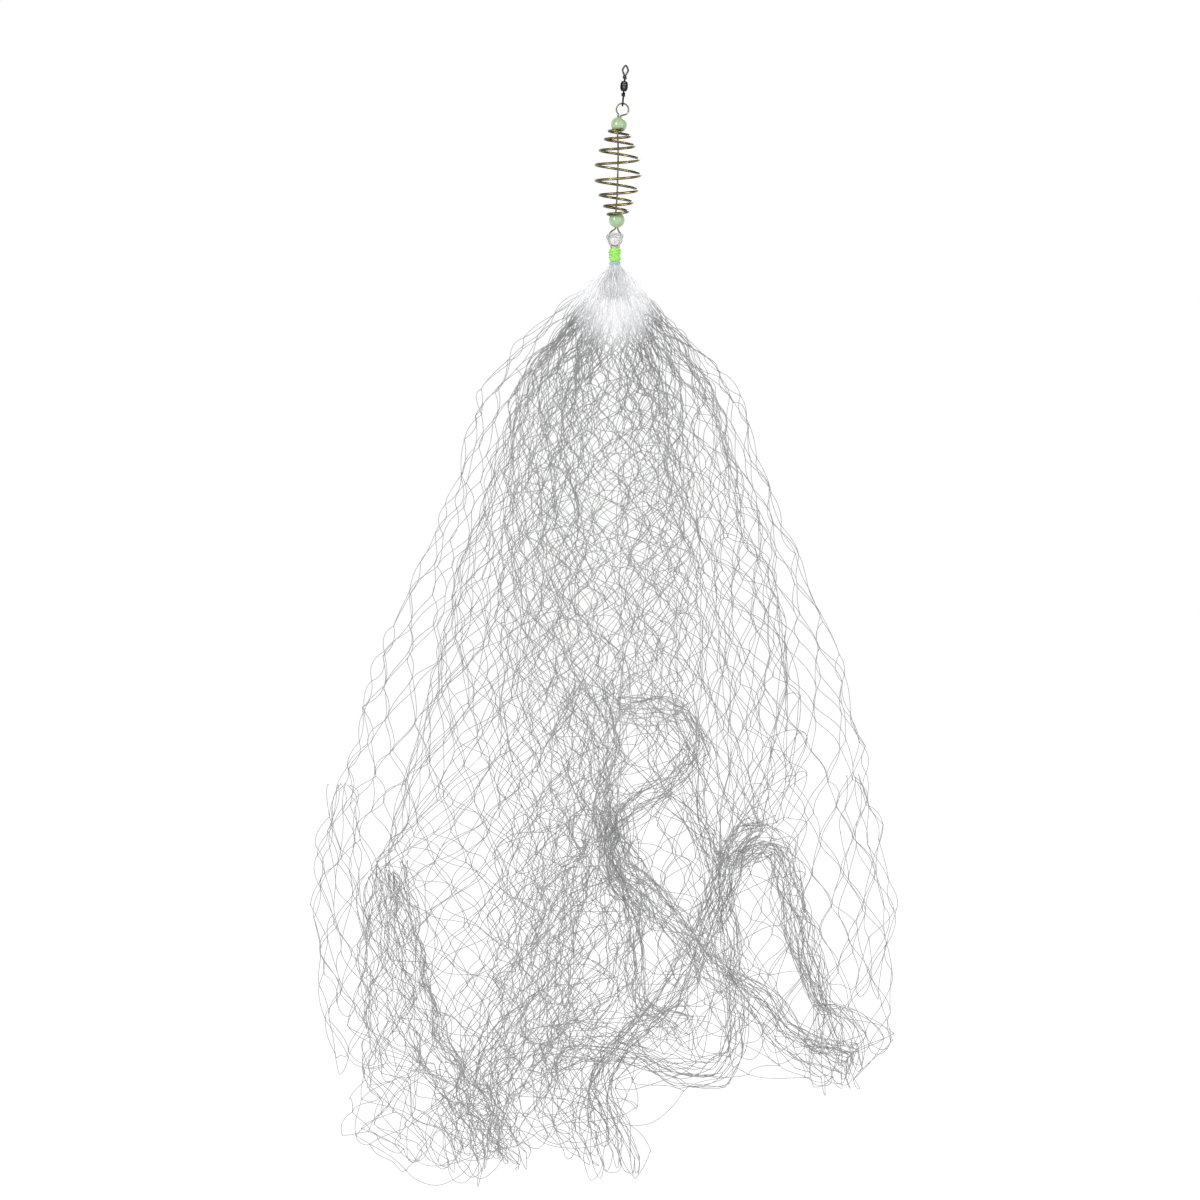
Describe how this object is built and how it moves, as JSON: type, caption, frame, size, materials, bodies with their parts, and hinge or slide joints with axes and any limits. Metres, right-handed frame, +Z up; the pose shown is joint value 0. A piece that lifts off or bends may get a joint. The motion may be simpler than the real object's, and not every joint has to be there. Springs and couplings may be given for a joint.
{
  "type": "spring-feeder shoal net",
  "caption": "Spring-feeder shoal net: barrel swivel, wire shaft with luminous beads and a brass bait spring, and layers of clear netting whipped to its lower ring.",
  "frame": {"origin": "where the fishing line bears, inside the top of the swivel's upper eye", "axes": "+Z up along the hanging net, +X to the right seen from the front, the front faces -Y"},
  "size_m": [0.2903, 0.1645, 0.5656],
  "materials": {
    "black_nickel": "gloss",
    "steel_wire": "satin",
    "antique_brass": "satin",
    "luminous_plastic": "gloss",
    "lime_thread": "matte",
    "blue_thread": "matte",
    "monofilament": "satin"
  },
  "bodies": {
    "line_eye": {"swivel_top_eye": "black_nickel"},
    "barrel": {"swivel_barrel": "black_nickel"},
    "bottom_eye": {"swivel_bottom_eye": "black_nickel"},
    "shaft": {"feeder_shaft": "steel_wire"},
    "upper_bead": {"upper_bead": "luminous_plastic"},
    "lower_bead": {"lower_bead": "luminous_plastic"},
    "spring": {"feeder_spring": "antique_brass"},
    "net_head": {"net_head_loop": "monofilament", "lime_whipping": "lime_thread", "blue_whipping": "blue_thread", "strand_tuft": "monofilament"},
    "layer_right": {"net_layer_right": "monofilament"},
    "layer_back_right": {"net_layer_back_right": "monofilament"},
    "layer_back_mid_right": {"net_layer_back_mid_right": "monofilament"},
    "layer_back_mid_left": {"net_layer_back_mid_left": "monofilament"},
    "layer_back_left": {"net_layer_back_left": "monofilament"},
    "layer_left": {"net_layer_left": "monofilament"},
    "layer_front_left": {"net_layer_front_left": "monofilament"},
    "layer_front_mid_left": {"net_layer_front_mid_left": "monofilament"},
    "layer_front_mid_right": {"net_layer_front_mid_right": "monofilament"},
    "layer_front_right": {"net_layer_front_right": "monofilament"}
  },
  "joints": [
    {"name": "barrel_spin", "type": "hinge", "parent": "line_eye", "child": "barrel", "pos_m": [0, 0, 0], "axis": [0.0785, 0, 0.9969], "continuous": true},
    {"name": "bottom_eye_spin", "type": "hinge", "parent": "barrel", "child": "bottom_eye", "pos_m": [0, 0, 0], "axis": [0.0785, 0, 0.9969], "continuous": true},
    {"name": "feeder_swing", "type": "hinge", "parent": "bottom_eye", "child": "shaft", "pos_m": [-0.00154, 0, -0.01954], "axis": [0, 1, 0], "range_deg": [-65, 65]},
    {"name": "upper_bead_slide", "type": "slide", "parent": "shaft", "child": "upper_bead", "axis": [0.0218, 0, 0.9998], "range_m": [-0.008, 0], "stiffness_N_per_m": 60, "deforming": ["feeder_spring"]},
    {"name": "lower_bead_spin", "type": "hinge", "parent": "shaft", "child": "lower_bead", "pos_m": [-0.00445, 0, -0.07719], "axis": [0.0218, 0, 0.9998], "continuous": true},
    {"name": "spring_spin", "type": "hinge", "parent": "shaft", "child": "spring", "pos_m": [-0.0034, 0, -0.0292], "axis": [0.0218, 0, 0.9998], "continuous": true},
    {"name": "net_swing", "type": "hinge", "parent": "shaft", "child": "net_head", "pos_m": [-0.0054, 0, -0.09022], "axis": [1, 0, 0], "range_deg": [-60, 60]},
    {"name": "layer_right_flare", "type": "hinge", "parent": "net_head", "child": "layer_right", "pos_m": [-0.002, 0, -0.10282], "axis": [0, -1, 0], "range_deg": [0, 35]},
    {"name": "layer_back_right_flare", "type": "hinge", "parent": "net_head", "child": "layer_back_right", "pos_m": [-0.00237, 0.00154, -0.10282], "axis": [0.454, -0.891, 0], "range_deg": [0, 35]},
    {"name": "layer_back_mid_right_flare", "type": "hinge", "parent": "net_head", "child": "layer_back_mid_right", "pos_m": [-0.0038, 0.003, -0.10282], "axis": [0.8829, -0.4695, 0], "range_deg": [0, 35]},
    {"name": "layer_back_mid_left_flare", "type": "hinge", "parent": "net_head", "child": "layer_back_mid_left", "pos_m": [-0.007, 0.003, -0.10282], "axis": [0.8829, 0.4695, 0], "range_deg": [0, 35]},
    {"name": "layer_back_left_flare", "type": "hinge", "parent": "net_head", "child": "layer_back_left", "pos_m": [-0.0084, 0.0016, -0.10282], "axis": [0.4695, 0.8829, 0], "range_deg": [0, 35]},
    {"name": "layer_left_flare", "type": "hinge", "parent": "net_head", "child": "layer_left", "pos_m": [-0.0088, 0, -0.10282], "axis": [0, 1, 0], "range_deg": [0, 35]},
    {"name": "layer_front_left_flare", "type": "hinge", "parent": "net_head", "child": "layer_front_left", "pos_m": [-0.0084, -0.0016, -0.10282], "axis": [-0.4695, 0.8829, 0], "range_deg": [0, 35]},
    {"name": "layer_front_mid_left_flare", "type": "hinge", "parent": "net_head", "child": "layer_front_mid_left", "pos_m": [-0.00689, -0.00306, -0.10282], "axis": [-0.8988, 0.4384, 0], "range_deg": [0, 35]},
    {"name": "layer_front_mid_right_flare", "type": "hinge", "parent": "net_head", "child": "layer_front_mid_right", "pos_m": [-0.00391, -0.00306, -0.10282], "axis": [-0.8988, -0.4384, 0], "range_deg": [0, 35]},
    {"name": "layer_front_right_flare", "type": "hinge", "parent": "net_head", "child": "layer_front_right", "pos_m": [-0.00243, -0.00165, -0.10282], "axis": [-0.4848, -0.8746, 0], "range_deg": [0, 35]}
  ]
}
